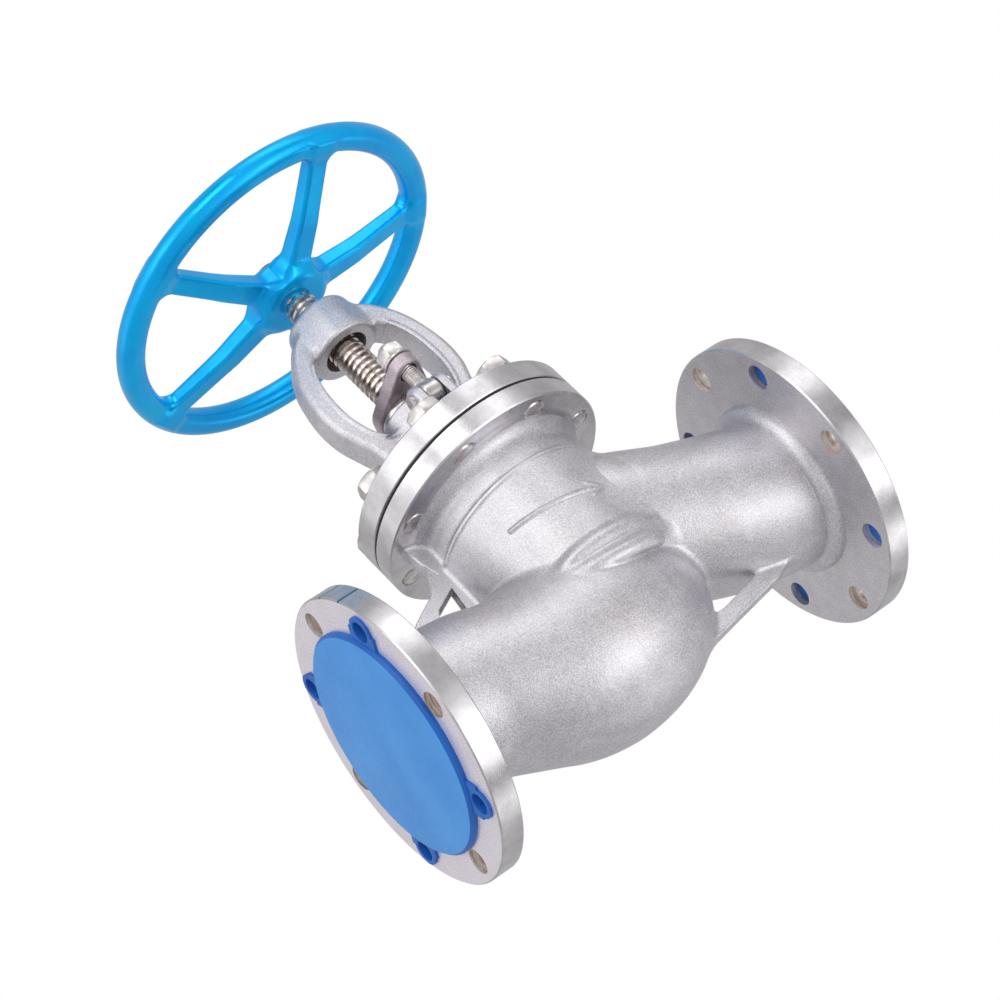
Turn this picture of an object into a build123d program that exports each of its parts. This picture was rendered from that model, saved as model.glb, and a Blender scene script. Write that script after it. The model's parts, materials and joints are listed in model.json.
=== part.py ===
from build123d import *
import math
import os

# Flanged globe valve, millimetres, drawn shut. +X is the flow direction, +Z runs up the stem.
# Shapes are built about the crossing of the flow and stem axes, then moved so that the origin
# is the centre of the inlet joint face.

# Driving dimensions of the pipe ends
FACE_TO_FACE = 350.0
PORT_R = 48.5
PIPE_R = 54.0
FLANGE_R = 105.0
FLANGE_DISC = 17.5
RAISED_FACE = 2.0
RAISED_R = 79.0
PIPE_FILLET = 9.0
EDGE = 1.0
FLANGE_PCD = 180.0
FLANGE_HOLE_R = 9.0
HOLE_STRAIGHT = 5.0
HOLE_MOUTH_R = 9.25
BOLT_COUNT = 8

# Body casting
WALL = 7.5
BELLY_CENTRE = (-33.0, 0.0, -22.0)
BELLY_RADII = (92.0, 65.0, 65.0)
NECK_R = 65.0
NECK_BORE_R = 57.0
NECK_FOOT = -7.0
NECK_ROUND = 8.0
SEAT_WALL_LOW = -8.0
SEAT_WALL_TOP = 6.0
BODY_TOP = 127.0
BONNET_FLANGE_R = 89.0
BODY_FLANGE_LOW = 111.0
CREASE_Z = 85.5
CREASE = 2.5
COLLAR_TOP = 98.0
COLLAR_ROUND = 13.0

# Ducts as circles that stand square to the flow: (x, height of the centre, radius)
INLET = [(-155.5, 0, 54), (-120, -3, 55), (-102, -8.5, 58), (-78, -18.2, 59.2), (-45, -21, 60)]
INLET_WAY = [(-176, 0, 48.5), (-145, 0, 48.5), (-120, -3, 48.5), (-102, -8.5, 50.5), (-78, -18.2, 51.7),
             (-45, -21, 52.5)]
OUTLET = [(20, 40, 56), (60, 30, 58), (90, 15.5, 56.7), (116, 6.8, 55.5), (141, 0, 54), (155.5, 0, 54)]
OUTLET_WAY = [(20, 40, 48), (60, 30, 50), (90, 15.5, 49.2), (116, 6.8, 48.5), (141, 0, 48.5), (176, 0, 48.5)]

# Brace ribs in the plane of the flow and the stem: (x, z)
OUTLET_BRACE = [(10, -60), (21, -69), (63, -62), (119, -48), (110, -42), (78, -48), (59, -52), (48, -52),
                (30, -40)]
INLET_BRACE = [(-58, 111), (-77, 111), (-75, 92), (-86, 72), (-113, 56), (-105, 40), (-62, 36)]
INLET_BRACE_WINDOW = [(-77, 53), (-91, 57), (-79, 63)]
OUTLET_BRACE_THICK = 8.0
INLET_BRACE_THICK = 10.0

# Planes that part the casting into its touching sections
INLET_CUT = -78.0
OUTLET_CUT = 66.0
SEAT_CUT = -1.0
COLLAR_CUT = 100.0
BRACE_CUT = 58.0
BRACE_REACH = 116.0

# Bonnet joint
GASKET = 1.2
BONNET_LOW = BODY_TOP + GASKET
BONNET_TOP = 146.0
BONNET_PCD = 150.0
BONNET_BOLT_R = 8.0
BONNET_BOLT_END = 110.6
TAPPED_BEVEL = 1.4
BONNET_HOLE_R = 8.5
BOLT_HEAD_FLATS = 24.0
BOLT_HEAD = 10.0

# Stem, disc and seat
STEM_R = 12.0
STEM_ROOT_R = 9.4
PITCH = 5.0
TOOTH_ROOT = 1.95
TOOTH_CREST = 0.95
TOOTH_SINK = 0.4
COLLAR = 5.0
LIFT = 28.0
THREAD_LOW = 206.0
THREAD_TOP = 325.5
THREAD_RELIEF = 3.0
STEM_TIP = 26.5
GROOVE_R = 9.5
GROOVE_LOW = 32.0
GROOVE_TOP = 37.0
RING_R = 16.5
RING_CUT = 1.0
DISC_LOW = 9.3
DISC_R = 53.0
DISC_THICK = 13.0
DISC_TOP = 48.0
DISC_BOSS_R = 25.0
DISC_BOSS_FOOT = 9.0
SOCKET_R = 17.0
CAP_LOW = 37.1
CAP_FLATS = 40.0
CAP_HEAD = 6.0
SEAT_R = 46.0
SEAT_OUTER_R = 51.5
RUNNING = 0.3
SLIDING = 0.05

# Bonnet underside
SPIGOT = 8.0
HOLLOW = 16.0
HOLLOW_LOW_R = 50.0
HOLLOW_TOP_R = 32.0
BUSH_R = 18.0
BUSH_TOP = 142.0
BUSH_LOW = BONNET_LOW - 4

# Stuffing box and gland
BOX_FOOT = 9.0
BOX_FOOT_R = 33.0
BOX_R = 26.0
BOX_BORE_R = 20.0
BOX_TOP = 198.0
BOX_FLOOR = 158.0
PACKING_TOP = 188.0
PACKING_RINGS = 5
PACKING_GAP = 0.2
WASHER = 3.0
FOLLOWER_TOP = 204.5
FOLLOWER_COLLAR_R = 21.5
FOLLOWER_COLLAR_LOW = 199.5
GLAND_TOP = 215.0
GLAND_BOLT_Y = 41.5
GLAND_HALF_WIDTH = 23.0
GLAND_LUG_R = 10.5
GLAND_SLOT = 16.0
GLAND_SLOT_WIDE = 13.0
GLAND_EDGE = 1.5
GLAND_WASHER_R = 11.5
GLAND_WASHER = 2.0
GLAND_NUT_FLATS = 19.0
GLAND_NUT = 10.0
EYE_Z = 181.0
EYE_R = 10.0
PIN_R = 5.0
PIN_HEAD = 2.0
PIN_HEAD_R = 6.5
EYEBOLT_R = 6.0
EYEBOLT_TOP = 231.0
EYE_GAP = 0.4
EYEBOLT_BEVEL = 1.0
EAR_GAP = 7.0
EAR_OUT = 14.0
EAR_ROOT = 12.0

# Yoke
YOKE_WIDTH = 25.0
BOSS_R = 25.0
BOSS_LOW = 272.0
BOSS_TOP = 307.0
BOSS_ROUND = 7.0
NUT_R = 17.0
NUT_LOW = 284.0
NUT_TOP = 300.0
LOCK_SCREW_Z = 292.0
LOCK_SCREW_R = 3.0
LOCK_SCREW = 11.0
ARM_OUTSIDE = [(24, 303), (38, 286), (47, 268), (52, 250), (54.5, 230), (53, 211), (48, 195), (43, 178),
               (40, 146)]
ARM_INSIDE = [(0, 276.5), (20, 276.5), (32, 267), (39, 248), (41, 224), (38.5, 206), (33, 193), (22, 184),
              (0, 182)]

# Handwheel
HUB_LOW = 328.0
HUB_TOP = 352.0
HUB_R = 27.0
RIM_CENTRE_R = 123.5
RIM_HALF = 9.8
RIM_Z = 353.0
RIM_FLAT = 0.8
RIM_ROUND = 8.8
HUB_ROUND = 4.0
SPOKES = 5
SPOKE_LINE = [(16, 340, 13.0), (62, 342, 11.0), (123.5, 353, 9.5)]
SPOKE_LOW = 8.0
SPOKE_KEEL = 4.0
SPOKE_TOP = 3.0
SQUARE = 17.0
SQUARE_CORNER_R = 11.4
WHEEL_STUD_R = 7.0
WHEEL_WASHER_R = 14.0
WHEEL_WASHER = 2.0
WHEEL_NUT_FLATS = 22.0
WHEEL_NUT = 8.0
STEM_TOP = 364.5

# Protection covers
COVER_R = 81.0
COVER_FACE = 2.6
EAR_R = 10.7
CUP_WALL = 1.7
CUP_GAP = 0.12
CUP_BOTTOM = 161.0
COVER_BEVEL = 2.1
COVER_ROOM = 0.15
EAR_NECK = 16.0
EAR_NECK_WIDE = 26.0
CUP_ANGLES = [67.5, 157.5, 247.5, 337.5]

HALF = FACE_TO_FACE / 2
FLANGE_FRONT = HALF - RAISED_FACE
FLANGE_BACK = FLANGE_FRONT - FLANGE_DISC
BOLT_ANGLES = [22.5 + 360.0 / BOLT_COUNT * k for k in range(BOLT_COUNT)]
UP = (Align.CENTER, Align.CENTER, Align.MIN)


def rod(radius, low, high, x=0.0, y=0.0):
    """Upright round bar between two heights."""
    return Pos(x, y, low) * Cylinder(radius, high - low, align=UP)


def ring(outer, inner, low, high):
    """Upright tube between two heights."""
    return rod(outer, low, high) - rod(inner, low - 1, high + 1)


def rod_x(radius, low, high, y=0.0, z=0.0):
    """Round bar along X."""
    return Pos(low, y, z) * Rot(0, 90, 0) * Cylinder(radius, high - low, align=UP)


def on_circle(shape, radius, angles):
    """Copies of a shape moved out along X and turned about Z."""
    return [Rot(0, 0, a) * Pos(radius, 0, 0) * shape for a in angles]


def on_flange(shape, angles):
    """Copies of a shape that lies along X, put on the end flange's bolt circle."""
    r = FLANGE_PCD / 2
    places = [(r * math.cos(math.radians(a)), r * math.sin(math.radians(a))) for a in angles]
    return [Pos(0, y, z) * shape for y, z in places]


def duct(sections):
    """Smooth round passage through circles that stand square to X: (x, z, radius)."""
    circles = [Plane(origin=(x, 0, z), z_dir=(1, 0, 0)) * Circle(r) for x, z, r in sections]
    return loft([c.face() for c in circles])


def hexagon(flats, low, high):
    """Hexagon bar with its corners bevelled at the top."""
    bar = extrude(Plane.XY.offset(low) * RegularPolygon(flats / 2, 6, major_radius=False), high - low)
    dome = Pos(0, 0, low) * Cone(flats * 0.5 + (high - low) * 1.2, flats * 0.48, high - low, align=UP)
    return bar & (dome + rod(flats * 0.5, low, high) + rod(flats * 0.6, low, high - flats * 0.07))


def end_flange():
    """Outlet flange with its raised face, its fillet onto the pipe and its rim bevels."""
    root = FLANGE_BACK - PIPE_FILLET
    with BuildPart() as flange:
        with BuildSketch(Plane.XY):
            with BuildLine():
                Polyline((root, PIPE_R), (root, 0), (HALF, 0), (HALF, RAISED_R), (FLANGE_FRONT, RAISED_R),
                         (FLANGE_FRONT, FLANGE_R - EDGE), (FLANGE_FRONT - EDGE, FLANGE_R),
                         (FLANGE_BACK + EDGE, FLANGE_R), (FLANGE_BACK, FLANGE_R - EDGE),
                         (FLANGE_BACK, PIPE_R + PIPE_FILLET))
                RadiusArc((FLANGE_BACK, PIPE_R + PIPE_FILLET), (root, PIPE_R), -PIPE_FILLET)
            make_face()
        revolve(axis=Axis.X)
    return flange.part


def flange_hole():
    """Bolt hole of the outlet flange: straight at the nut side, easing open to the joint face."""
    straight = rod_x(FLANGE_HOLE_R, FLANGE_BACK - 1, FLANGE_BACK + HOLE_STRAIGHT)
    length = FLANGE_FRONT + 1 - FLANGE_BACK - HOLE_STRAIGHT
    cone = Cone(FLANGE_HOLE_R, HOLE_MOUTH_R, length, align=UP)
    return straight + Pos(FLANGE_BACK + HOLE_STRAIGHT, 0, 0) * Rot(0, 90, 0) * cone


def neck():
    """Upright chamber, waist and bonnet flange, turned about Z."""
    low = NECK_FOOT
    collar = NECK_R - CREASE
    with BuildPart() as part:
        with BuildSketch(Plane.XZ):
            with BuildLine():
                Line((0, low), (NECK_R - NECK_ROUND, low))
                RadiusArc((NECK_R - NECK_ROUND, low), (NECK_R, low + NECK_ROUND), -NECK_ROUND)
                Polyline((NECK_R, low + NECK_ROUND), (NECK_R, CREASE_Z), (collar, CREASE_Z + CREASE),
                         (collar, COLLAR_TOP))
                RadiusArc((collar, COLLAR_TOP), (collar + COLLAR_ROUND, BODY_FLANGE_LOW), COLLAR_ROUND)
                Polyline((collar + COLLAR_ROUND, BODY_FLANGE_LOW), (BONNET_FLANGE_R - EDGE, BODY_FLANGE_LOW),
                         (BONNET_FLANGE_R, BODY_FLANGE_LOW + EDGE), (BONNET_FLANGE_R, BODY_TOP - EDGE),
                         (BONNET_FLANGE_R - EDGE, BODY_TOP), (0, BODY_TOP), (0, low))
            make_face()
        revolve(axis=Axis.Z)
    return part.part


def brace(points, thick):
    """Flat cast rib in the plane of the flow and stem axes."""
    outline = Plane.XZ * Polygon(*points, align=None)
    return extrude(outline, thick / 2, both=True)


def block(x_low, x_high, z_low, z_high):
    """Box across the whole casting between two x and two z planes."""
    middle = Pos((x_low + x_high) / 2, 0, (z_low + z_high) / 2)
    return middle * Box(x_high - x_low, 3 * FLANGE_R, z_high - z_low)


def sections(casting):
    """The casting parted into neck, inlet end, outlet end and bowl, which touch at plane cuts."""
    top = BODY_TOP + 1
    upper = block(INLET_CUT, OUTLET_CUT, SEAT_CUT, top) + block(-BRACE_REACH, BRACE_REACH, COLLAR_CUT, top)
    upper += block(-BRACE_REACH, INLET_CUT, BRACE_CUT, top)
    rest = casting - upper
    inlet = rest & block(-HALF - 1, INLET_CUT, -2 * FLANGE_R, top)
    outlet = rest & block(OUTLET_CUT, HALF + 1, -2 * FLANGE_R, top)
    bowl = rest & block(INLET_CUT, OUTLET_CUT, -2 * FLANGE_R, SEAT_CUT)
    return Compound(children=[part.solid() for part in (casting & upper, inlet, outlet, bowl)])


def valve_body():
    """Body casting: two flanged ducts, round belly, neck, seat wall and two brace ribs, in sections."""
    belly = Pos(*BELLY_CENTRE) * scale(Rot(0, 90, 0) * Sphere(1), by=BELLY_RADII)
    throat = neck()
    outlet = duct(OUTLET)
    outer = duct(INLET) + belly + outlet + throat + end_flange() + mirror(end_flange(), Plane.YZ)
    outer += brace(OUTLET_BRACE, OUTLET_BRACE_THICK)
    outer += brace(INLET_BRACE, INLET_BRACE_THICK) - brace(INLET_BRACE_WINDOW, INLET_BRACE_THICK + 2)

    inner_radii = tuple(r - WALL for r in BELLY_RADII)
    lower = duct(INLET_WAY) + Pos(*BELLY_CENTRE) * scale(Rot(0, 90, 0) * Sphere(1), by=inner_radii)
    lower = lower - rod(NECK_R, SEAT_WALL_LOW, BODY_TOP) - outlet
    upper = rod(NECK_BORE_R, SEAT_WALL_TOP, BODY_TOP + 1)
    upper += duct(OUTLET_WAY) - block(-NECK_BORE_R, 50, -2 * FLANGE_R, SEAT_WALL_TOP)
    body = outer - lower - upper - rod(SEAT_OUTER_R, SEAT_WALL_LOW - 1, SEAT_WALL_TOP + 1)

    hole = flange_hole()
    body -= on_flange(hole, BOLT_ANGLES)
    body -= on_flange(mirror(hole, Plane.YZ), BOLT_ANGLES)
    tapped = rod(BONNET_BOLT_R, BODY_FLANGE_LOW - 1, BODY_TOP + 1)
    mouth = Cone(BONNET_BOLT_R + TAPPED_BEVEL, BONNET_BOLT_R, TAPPED_BEVEL, align=UP)
    tapped += Pos(0, 0, BODY_FLANGE_LOW) * mouth
    return sections(body - on_circle(tapped, BONNET_PCD / 2, BOLT_ANGLES))


def seat_ring():
    """Seat pressed into the wall between the two chambers, with a raised sealing lip."""
    seat = ring(SEAT_OUTER_R, SEAT_R, SEAT_WALL_LOW, SEAT_WALL_TOP)
    seat += ring(NECK_BORE_R - 1.5, SEAT_R, SEAT_WALL_TOP, SEAT_WALL_TOP + 1.5)
    return seat + ring(DISC_R - 2, SEAT_R, SEAT_WALL_TOP + 1.5, DISC_LOW - RUNNING)


def bonnet_gasket():
    """Flat gasket between the body and bonnet flanges."""
    sheet = ring(BONNET_FLANGE_R - 0.4, NECK_BORE_R, BODY_TOP, BONNET_LOW)
    hole = rod(BONNET_BOLT_R + 0.6, BODY_TOP - 1, BONNET_LOW + 1)
    return sheet - on_circle(hole, BONNET_PCD / 2, BOLT_ANGLES)


def yoke_frame():
    """Two curved arms in the X-Z plane joined over the window, with rounded edges."""
    left = [(-x, z) for x, z in reversed(ARM_OUTSIDE)]
    with BuildPart() as arms:
        with BuildSketch(Plane.XZ):
            with BuildLine():
                Line(left[-1], ARM_OUTSIDE[0])
                Spline(*ARM_OUTSIDE)
                Line(ARM_OUTSIDE[-1], left[0])
                Spline(*left)
            make_face()
        extrude(amount=YOKE_WIDTH / 2, both=True)
    round_way = ARM_INSIDE + [(-x, z) for x, z in reversed(ARM_INSIDE[1:-1])]
    with BuildPart() as window:
        with BuildSketch(Plane.XZ):
            with BuildLine():
                Spline(*round_way, periodic=True)
            make_face()
        extrude(amount=YOKE_WIDTH, both=True)
    return arms.part - window.part


def gland_ears():
    """Two forked ears that hold the swing bolts."""
    blank = Pos(0, GLAND_BOLT_Y, BONNET_TOP) * Box(2 * EAR_OUT, 2 * EYE_R, EYE_Z - BONNET_TOP, align=UP)
    blank += rod_x(EYE_R, -EAR_OUT, EAR_OUT, GLAND_BOLT_Y, EYE_Z)
    blank += Pos(0, BOX_R, BONNET_TOP) * Box(2 * EAR_OUT, 2 * (GLAND_BOLT_Y - BOX_R), EAR_ROOT, align=UP)
    slot = Pos(0, GLAND_BOLT_Y, BONNET_TOP + EAR_ROOT) * Box(2 * EAR_GAP, 4 * EYE_R, EYE_Z, align=UP)
    ear = blank - slot - rod_x(PIN_R, -EAR_OUT - 1, EAR_OUT + 1, GLAND_BOLT_Y, EYE_Z)
    return ear + mirror(ear, Plane.XZ)


def lock_screw_bar(length):
    """Round bar into the side of the yoke boss, square to the stem."""
    return Pos(0, BOSS_R, LOCK_SCREW_Z) * Rot(90, 0, 0) * Cylinder(LOCK_SCREW_R, length, align=UP)


def bonnet():
    """Bonnet casting: flange, spigot, stuffing box, gland ears, yoke arms and yoke boss."""
    flange = rod(BONNET_FLANGE_R, BONNET_LOW, BONNET_TOP)
    flange = chamfer(flange.edges(), EDGE)
    spigot_low = BONNET_LOW - SPIGOT
    body = flange + rod(NECK_BORE_R - RUNNING, spigot_low, BONNET_LOW + 1)
    box = rod(BOX_R, BONNET_TOP, BOX_TOP)
    box += Pos(0, 0, BONNET_TOP) * Cone(BOX_FOOT_R, BOX_R, BOX_FOOT, align=UP)
    arms = yoke_frame() - rod(BOSS_R + 20, BOSS_TOP - 5, BOSS_TOP + 10)
    boss = fillet(rod(BOSS_R, BOSS_LOW, BOSS_TOP).edges().sort_by(Axis.Z)[-1], BOSS_ROUND)
    body = body + box + arms + boss + gland_ears()
    body -= Pos(0, 0, spigot_low - 1) * Cone(HOLLOW_LOW_R, HOLLOW_TOP_R, HOLLOW, align=UP)
    body -= rod(STEM_R + 0.4, spigot_low, BOX_FLOOR + 1) + rod(BOX_BORE_R, BOX_FLOOR, BOX_TOP + 1)
    body -= rod(BUSH_R, spigot_low, BUSH_TOP)
    body -= rod(NUT_R, BOSS_LOW - 1, NUT_TOP) + rod(STEM_R + 1.5, NUT_TOP - 1, BOSS_TOP + 1)
    body -= lock_screw_bar(LOCK_SCREW + 2)
    through = rod(BONNET_HOLE_R, BONNET_LOW - 1, BONNET_TOP + 1)
    return body - on_circle(through, BONNET_PCD / 2, BOLT_ANGLES)


def bonnet_bolts():
    """Eight hexagon bolts through the bonnet flange into the tapped body flange."""
    shank = rod(BONNET_BOLT_R, BONNET_BOLT_END, BONNET_TOP)
    shank = chamfer(shank.edges().sort_by(Axis.Z)[0], 1.0)
    bolt = shank + hexagon(BOLT_HEAD_FLATS, BONNET_TOP, BONNET_TOP + BOLT_HEAD)
    return Compound(children=on_circle(bolt, BONNET_PCD / 2, BOLT_ANGLES))


def backseat_bush():
    """Bush that the stem's collar closes on when the valve is fully open."""
    return ring(BUSH_R, STEM_R + SLIDING, BUSH_LOW, BUSH_TOP)


def packing_washer():
    """Flat ring on the stuffing box floor."""
    return ring(BOX_BORE_R, STEM_R + RUNNING, BOX_FLOOR, BOX_FLOOR + WASHER)


def packing_rings():
    """Square graphite rings stacked round the stem."""
    low = BOX_FLOOR + WASHER
    pitch = (PACKING_TOP - low) / PACKING_RINGS
    levels = [low + pitch * k for k in range(PACKING_RINGS)]
    height = pitch - PACKING_GAP
    return Compound(children=[ring(BOX_BORE_R, STEM_R + SLIDING, z, z + height) for z in levels])


def gland_follower():
    """Sleeve that presses on the packing, with a collar under the gland flange."""
    bore = STEM_R + 2 * SLIDING
    sleeve = ring(BOX_BORE_R - 2 * SLIDING, bore, PACKING_TOP - PACKING_GAP, FOLLOWER_TOP)
    return sleeve + ring(FOLLOWER_COLLAR_R, bore, FOLLOWER_COLLAR_LOW, FOLLOWER_TOP)


def gland_flange():
    """Rhombic plate with a long hole in each lug for the swing bolts."""
    centre = Circle(GLAND_HALF_WIDTH)
    lugs = [Pos(0, y, 0) * Circle(GLAND_LUG_R) for y in (-GLAND_BOLT_Y, GLAND_BOLT_Y)]
    outline = make_hull((centre + lugs[0] + lugs[1]).edges())
    slot = Rot(0, 0, 90) * SlotOverall(GLAND_SLOT, GLAND_SLOT_WIDE)
    slots = [Pos(0, y, 0) * slot for y in (-GLAND_BOLT_Y, GLAND_BOLT_Y)]
    shape = outline - Circle(STEM_R + 2 * RUNNING) - slots
    plate = extrude(Plane.XY.offset(FOLLOWER_TOP) * shape, GLAND_TOP - FOLLOWER_TOP)
    lowest = plate.faces().sort_by(Axis.Z)[0]
    highest = plate.faces().sort_by(Axis.Z)[-1]
    return fillet(lowest.outer_wire().edges() + highest.outer_wire().edges(), GLAND_EDGE)


def gland_eyebolts():
    """Two swing bolts: a flat eye on the pin and a threaded shank up through the lug."""
    eye = rod_x(EYE_R - EYE_GAP, EYE_GAP - EAR_GAP, EAR_GAP - EYE_GAP, 0, EYE_Z)
    eye -= rod_x(PIN_R, -EAR_GAP, EAR_GAP, 0, EYE_Z)
    shank = rod(EYEBOLT_R, EYE_Z + PIN_R + 2, EYEBOLT_TOP)
    bolt = eye + chamfer(shank.edges().sort_by(Axis.Z)[-1], EYEBOLT_BEVEL)
    return Compound(children=[Pos(0, y, 0) * bolt for y in (-GLAND_BOLT_Y, GLAND_BOLT_Y)])


def eyebolt_pins():
    """Cross pins of the swing bolts, with a low head at each end."""
    pin = rod_x(PIN_R, -EAR_OUT, EAR_OUT, 0, EYE_Z)
    for low in (-EAR_OUT - PIN_HEAD, EAR_OUT):
        pin += rod_x(PIN_HEAD_R, low, low + PIN_HEAD, 0, EYE_Z)
    return Compound(children=[Pos(0, y, 0) * pin for y in (-GLAND_BOLT_Y, GLAND_BOLT_Y)])


def gland_washers():
    """Flat washers under the gland nuts."""
    washer = ring(GLAND_WASHER_R, EYEBOLT_R, GLAND_TOP, GLAND_TOP + GLAND_WASHER)
    return Compound(children=[Pos(0, y, 0) * washer for y in (-GLAND_BOLT_Y, GLAND_BOLT_Y)])


def gland_nuts():
    """Two hexagon nuts that pull the gland flange down."""
    low = GLAND_TOP + GLAND_WASHER
    nut = hexagon(GLAND_NUT_FLATS, low, low + GLAND_NUT) - rod(EYEBOLT_R, low - 1, low + GLAND_NUT + 1)
    return Compound(children=[Pos(0, y, 0) * nut for y in (-GLAND_BOLT_Y, GLAND_BOLT_Y)])


def stem_nut():
    """Bronze nut in the yoke boss that the stem's thread runs in."""
    return ring(NUT_R, STEM_R + RUNNING, NUT_LOW, NUT_TOP) - stem_nut_lock_screw()


def stem_nut_lock_screw():
    """Set screw that keeps the stem nut from turning in the boss."""
    return Pos(0, -0.5, 0) * lock_screw_bar(LOCK_SCREW)


def stem():
    """Stem: tip, split-ring groove, backseat collar, rising thread, square and wheel stud."""
    shaft = rod(STEM_R - SLIDING, STEM_TIP, THREAD_LOW)
    shaft -= ring(SOCKET_R, GROOVE_R, GROOVE_LOW, GROOVE_TOP)
    collar_top = BUSH_LOW - LIFT - RUNNING
    shaft += rod(SOCKET_R, collar_top - 2 * COLLAR, collar_top - COLLAR)
    shaft += Pos(0, 0, collar_top - COLLAR) * Cone(SOCKET_R, STEM_R - SLIDING, COLLAR, align=UP)
    core = rod(STEM_ROOT_R, THREAD_LOW - 1, HUB_LOW)
    flank = STEM_R - STEM_ROOT_R
    with BuildSketch(Plane(origin=(STEM_ROOT_R, 0, 0), x_dir=(1, 0, 0), z_dir=(0, -1, 0))) as tooth:
        Polygon((-TOOTH_SINK, -TOOTH_ROOT), (flank, -TOOTH_CREST), (flank, TOOTH_CREST),
                (-TOOTH_SINK, TOOTH_ROOT), align=None)
    turns = Helix(pitch=PITCH, height=THREAD_TOP - THREAD_LOW - THREAD_RELIEF, radius=STEM_ROOT_R)
    thread = core + Pos(0, 0, THREAD_LOW + THREAD_RELIEF) * sweep(tooth.sketch, path=turns, is_frenet=True)
    square = Pos(0, 0, HUB_LOW) * Box(SQUARE, SQUARE, HUB_TOP - HUB_LOW, align=UP)
    square = square & rod(SQUARE_CORNER_R, HUB_LOW, HUB_TOP)
    stud = chamfer(rod(WHEEL_STUD_R, HUB_TOP, STEM_TOP).edges().sort_by(Axis.Z)[-1], EDGE)
    return thread + shaft + square + stud


def split_ring():
    """Two half rings in the stem's groove that lift the disc."""
    whole = ring(RING_R, GROOVE_R, GROOVE_LOW + 0.2, GROOVE_TOP - 0.2)
    return whole - Pos(0, 0, GROOVE_LOW) * Box(RING_CUT, 4 * RING_R, 4 * COLLAR)


def disc():
    """Flat-seated disc with a hollow boss for the stem's end."""
    back = DISC_LOW + DISC_THICK
    plug = rod(DISC_R, DISC_LOW, back) + rod(DISC_BOSS_R, back, DISC_TOP)
    foot = Cone(DISC_BOSS_R + DISC_BOSS_FOOT, DISC_BOSS_R, DISC_BOSS_FOOT, align=UP)
    return plug + Pos(0, 0, back) * foot - rod(SOCKET_R, STEM_TIP - RUNNING, DISC_TOP + 1)


def disc_nut():
    """Threaded cap that keeps the split ring in the disc."""
    cap = ring(SOCKET_R, STEM_R + RUNNING, CAP_LOW, DISC_TOP)
    hexagon_face = RegularPolygon(CAP_FLATS / 2, 6, major_radius=False)
    flats = extrude(Plane.XY.offset(DISC_TOP) * hexagon_face, CAP_HEAD)
    return cap + (flats - rod(STEM_R + RUNNING, CAP_LOW, DISC_TOP + CAP_HEAD + 1))


def spoke():
    """One dished spoke from hub to rim: a flat web with a ridge under it."""
    web = []
    for r, z, half in SPOKE_LINE:
        section = Plane(origin=(r, 0, z), x_dir=(0, 1, 0), z_dir=(1, 0, 0))
        left = [(-half, SPOKE_TOP), (-half, -SPOKE_TOP), (-SPOKE_KEEL, -SPOKE_LOW)]
        right = [(-y, z) for y, z in reversed(left)]
        web.append((section * Polygon(*left, *right, align=None)).face())
    return loft(web)


def handwheel():
    """Five-spoked dished handwheel with a square hole in the hub."""
    rim = RectangleRounded(2 * RIM_HALF, 2 * (RIM_HALF - RIM_FLAT), RIM_ROUND)
    wheel = revolve(Plane.XZ * Pos(RIM_CENTRE_R, RIM_Z) * rim, Axis.Z)
    wheel += fillet(rod(HUB_R, HUB_LOW, HUB_TOP).edges(), HUB_ROUND)
    wheel += [Rot(0, 0, 360.0 / SPOKES * k) * spoke() for k in range(SPOKES)]
    hole = Pos(0, 0, HUB_LOW - 1) * Box(SQUARE + 0.2, SQUARE + 0.2, HUB_TOP - HUB_LOW + 2, align=UP)
    return wheel - (hole & rod(SQUARE_CORNER_R + 0.1, HUB_LOW - 1, HUB_TOP + 2))


def handwheel_washer():
    """Plain washer on the hub."""
    return ring(WHEEL_WASHER_R, WHEEL_STUD_R + 0.2, HUB_TOP, HUB_TOP + WHEEL_WASHER)


def handwheel_nut():
    """Hexagon nut that holds the handwheel."""
    low = HUB_TOP + WHEEL_WASHER
    return hexagon(WHEEL_NUT_FLATS, low, low + WHEEL_NUT) - rod(WHEEL_STUD_R, low - 1, low + WHEEL_NUT + 1)


def cover_ear():
    """Ear and push-in cup of the outlet cover, on a bolt hole's axis."""
    slope = (HOLE_MOUTH_R - FLANGE_HOLE_R) / (FLANGE_FRONT - FLANGE_BACK - HOLE_STRAIGHT)
    mouth = HOLE_MOUTH_R - CUP_GAP
    tip = mouth - slope * (FLANGE_FRONT - CUP_BOTTOM) - SLIDING
    cup = Pos(CUP_BOTTOM, 0, 0) * Rot(0, 90, 0) * Cone(tip, mouth, FLANGE_FRONT - CUP_BOTTOM, align=UP)
    return cup + rod_x(EAR_R, FLANGE_FRONT, HALF)


def cover():
    """Outlet protection cover: disc over the raised face with four eared cups in the bolt holes."""
    plate = rod_x(COVER_R, FLANGE_FRONT, HALF + COVER_FACE)
    plate = chamfer(plate.edges().sort_by(Axis.X)[-1], COVER_BEVEL)
    recess = rod_x(RAISED_R + COVER_ROOM, FLANGE_FRONT - 1, HALF)
    pad = Box(RAISED_FACE, EAR_NECK, EAR_NECK_WIDE)
    pad = Pos(HALF - RAISED_FACE / 2, (FLANGE_PCD - EAR_NECK) / 2, 0) * pad - recess
    plate = plate - recess + [Rot(angle, 0, 0) * pad for angle in CUP_ANGLES]
    plate += on_flange(cover_ear(), CUP_ANGLES)
    hollow = rod_x(HOLE_MOUTH_R - CUP_GAP - CUP_WALL, CUP_BOTTOM + CUP_WALL, HALF + 1)
    return plate - on_flange(hollow, CUP_ANGLES)


def inlet_cover():
    """Inlet protection cover, the outlet cover's mirror image."""
    return mirror(cover(), Plane.YZ)


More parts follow.
